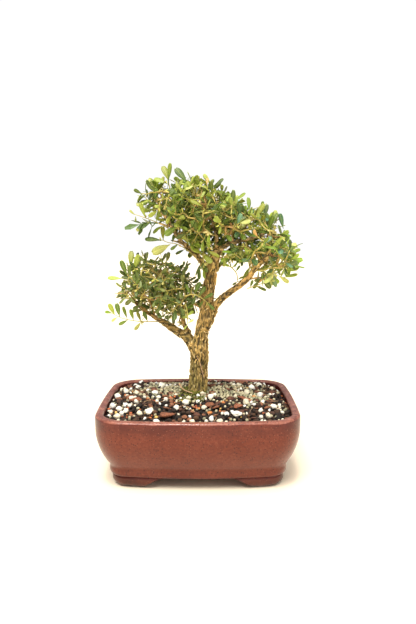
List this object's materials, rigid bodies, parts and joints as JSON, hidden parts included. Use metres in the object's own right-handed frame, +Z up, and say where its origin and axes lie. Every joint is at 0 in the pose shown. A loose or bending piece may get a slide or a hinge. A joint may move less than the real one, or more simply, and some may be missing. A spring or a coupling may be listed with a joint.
{
  "type": "bonsai tree in a pot",
  "caption": "Small boxwood bonsai with a forked corky trunk and leafy pads, planted in a footed rectangular glazed pot filled with soil and a grit top dressing.",
  "frame": {"origin": "on the ground under the middle of the pot, at the centre of the object's bottom", "axes": "+Z up, +X along the pot's long side to the viewer's right, +Y away from the viewer"},
  "size_m": [0.2038, 0.1658, 0.3122],
  "materials": {
    "oxblood_glaze": "gloss",
    "screen_plastic": "matte",
    "potting_soil": "matte",
    "grit_dressing": "matte",
    "moss": "matte",
    "corky_bark": "matte",
    "leaf_green": "satin",
    "perlite": "matte",
    "pine_bark": "matte",
    "fired_clay": "matte"
  },
  "bodies": {
    "root": {"pot": "oxblood_glaze", "drain_screen_left": "screen_plastic", "drain_screen_right": "screen_plastic", "soil": "potting_soil", "top_dressing": "grit_dressing", "moss": "moss", "trunk": "corky_bark", "perlite_1": "perlite", "perlite_2": "perlite", "perlite_3": "perlite", "perlite_4": "perlite", "perlite_5": "perlite", "perlite_6": "perlite", "perlite_7": "perlite", "bark_chip_1": "pine_bark", "bark_chip_2": "pine_bark", "bark_chip_3": "pine_bark", "bark_chip_4": "pine_bark", "bark_chip_5": "pine_bark", "clay_chip_1": "fired_clay", "clay_chip_2": "fired_clay", "shoot_01": "leaf_green", "shoot_02": "leaf_green", "shoot_03": "leaf_green", "shoot_04": "leaf_green", "shoot_05": "leaf_green", "shoot_06": "leaf_green", "shoot_07": "leaf_green", "shoot_08": "leaf_green", "shoot_09": "leaf_green", "shoot_10": "leaf_green", "shoot_11": "leaf_green", "shoot_12": "leaf_green", "shoot_13": "leaf_green", "shoot_14": "leaf_green", "shoot_15": "leaf_green", "shoot_16": "leaf_green", "shoot_17": "leaf_green", "shoot_18": "leaf_green", "shoot_19": "leaf_green", "shoot_20": "leaf_green", "shoot_21": "leaf_green", "shoot_22": "leaf_green", "shoot_23": "leaf_green", "shoot_24": "leaf_green", "shoot_25": "leaf_green", "shoot_26": "leaf_green", "shoot_27": "leaf_green", "shoot_28": "leaf_green", "shoot_29": "leaf_green", "shoot_30": "leaf_green", "shoot_31": "leaf_green", "shoot_32": "leaf_green"}
  },
  "joints": []
}
